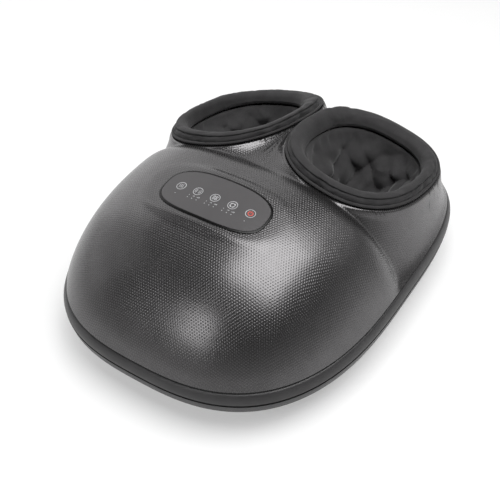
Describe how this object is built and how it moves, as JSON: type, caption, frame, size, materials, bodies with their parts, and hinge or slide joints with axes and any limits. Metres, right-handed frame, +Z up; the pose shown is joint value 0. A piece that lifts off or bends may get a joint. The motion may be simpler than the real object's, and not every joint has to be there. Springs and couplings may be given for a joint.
{
  "type": "shiatsu foot massager",
  "caption": "Domed foot massager with padded openings for both feet, rotating kneading discs, pressing airbags, heated foot beds and a touch panel.",
  "frame": {"origin": "on the floor under the middle of the machine", "axes": "+Z up, -Y towards the domed toe end, +X the user's left foot"},
  "size_m": [0.36, 0.464, 0.1787],
  "materials": {
    "textured_cover": "graphite grey, fine diamond lattice, satin highlights",
    "casing": "dark grey, fine satin",
    "soft_band": "satin black soft band",
    "panel": null,
    "black_gloss": "black, half gloss",
    "fabric": "charcoal stretch fabric over foam",
    "piping": "black piping",
    "lining": "black stretch lining with folds",
    "rubber": "matt black rubber",
    "circuit_board": "green board",
    "heating_film": "amber film",
    "gear_plastic": "natural gear plastic",
    "brass": "turned brass",
    "steel": "plated steel",
    "inner_plastic": "grey moulding"
  },
  "bodies": {
    "casing": {"air_hose_left": "rubber", "air_hose_right": "rubber", "air_valve": "inner_plastic", "airbag_left": "rubber", "airbag_right": "rubber", "bottom_shell": "casing", "collar_pad_left": "fabric", "collar_pad_right": "fabric", "collar_piping_left": "piping", "collar_piping_right": "piping", "foot_bed_left": "inner_plastic", "foot_bed_right": "inner_plastic", "foot_liner_left": "lining", "foot_liner_right": "lining", "gearbox_lower_left": "inner_plastic", "gearbox_lower_right": "inner_plastic", "gearbox_upper_left": "inner_plastic", "gearbox_upper_right": "inner_plastic", "heater_film_left": "heating_film", "heater_film_right": "heating_film", "housing_screw_heel_left": "steel", "housing_screw_heel_right": "steel", "housing_screw_toe_left": "steel", "housing_screw_toe_right": "steel", "inner_bush_left": "brass", "inner_bush_right": "brass", "main_board": "circuit_board", "motor_case": "steel", "motor_cradle": "inner_plastic", "outer_bush_left": "brass", "outer_bush_right": "brass", "panel_bezel": "black_gloss", "panel_lens": "panel", "power_inlet": "black_gloss", "pump_body": "inner_plastic", "pump_head": "inner_plastic", "rubber_foot_heel_left": "rubber", "rubber_foot_heel_right": "rubber", "rubber_foot_toe_left": "rubber", "rubber_foot_toe_right": "rubber", "top_cover": "textured_cover", "touch_board": "circuit_board", "trim_band": "soft_band", "vibration_motor_left": "steel", "vibration_motor_right": "steel"},
    "drive_shaft": {"motor_rotor": "steel", "worm_left": "brass", "worm_right": "brass"},
    "instep_left": {"instep_pad_left": "fabric"},
    "instep_right": {"instep_pad_right": "fabric"},
    "vibrator_left": {"eccentric_weight_left": "steel"},
    "vibrator_right": {"eccentric_weight_right": "steel"},
    "kneader_toe_left": {"worm_wheel_toe_left": "gear_plastic", "kneading_disc_toe_left": "inner_plastic"},
    "kneader_toe_right": {"worm_wheel_toe_right": "gear_plastic", "kneading_disc_toe_right": "inner_plastic"},
    "kneader_heel_left": {"worm_wheel_heel_left": "gear_plastic", "kneading_disc_heel_left": "inner_plastic"},
    "kneader_heel_right": {"worm_wheel_heel_right": "gear_plastic", "kneading_disc_heel_right": "inner_plastic"}
  },
  "joints": [
    {"name": "knead_toe_left", "type": "hinge", "parent": "casing", "child": "kneader_toe_left", "pos_m": [0.0775, -0.058, 0.026], "axis": [0, 0, 1], "continuous": true},
    {"name": "knead_heel_left", "type": "hinge", "parent": "casing", "child": "kneader_heel_left", "pos_m": [0.0775, 0.018, 0.026], "axis": [0, 0, 1], "continuous": true},
    {"name": "knead_toe_right", "type": "hinge", "parent": "casing", "child": "kneader_toe_right", "pos_m": [-0.0775, -0.058, 0.026], "axis": [0, 0, 1], "continuous": true},
    {"name": "knead_heel_right", "type": "hinge", "parent": "casing", "child": "kneader_heel_right", "pos_m": [-0.0775, 0.018, 0.026], "axis": [0, 0, 1], "continuous": true},
    {"name": "drive_spin", "type": "hinge", "parent": "casing", "child": "drive_shaft", "pos_m": [0, -0.02, 0.026], "axis": [1, 0, 0], "continuous": true},
    {"name": "vibrate_left", "type": "hinge", "parent": "casing", "child": "vibrator_left", "pos_m": [0.0775, 0.112, 0.022], "axis": [0, 1, 0], "continuous": true},
    {"name": "vibrate_right", "type": "hinge", "parent": "casing", "child": "vibrator_right", "pos_m": [-0.0775, 0.112, 0.022], "axis": [0, 1, 0], "continuous": true},
    {"name": "instep_press_left", "type": "slide", "parent": "casing", "child": "instep_left", "axis": [0, 0, -1], "range_m": [0, 0.01], "stiffness_N_per_m": 200, "springref_m": -0.005, "deforming": ["airbag_left"]},
    {"name": "instep_press_right", "type": "slide", "parent": "casing", "child": "instep_right", "axis": [0, 0, -1], "range_m": [0, 0.01], "stiffness_N_per_m": 200, "springref_m": -0.005, "deforming": ["airbag_right"]}
  ],
  "couplings": [
    {"joint": "knead_heel_left", "follows": "knead_toe_left", "ratio": -1},
    {"joint": "knead_toe_right", "follows": "knead_toe_left", "ratio": -1},
    {"joint": "knead_heel_right", "follows": "knead_toe_left", "ratio": 1},
    {"joint": "drive_spin", "follows": "knead_toe_left", "ratio": 20},
    {"joint": "instep_press_right", "follows": "instep_press_left", "ratio": 1}
  ]
}
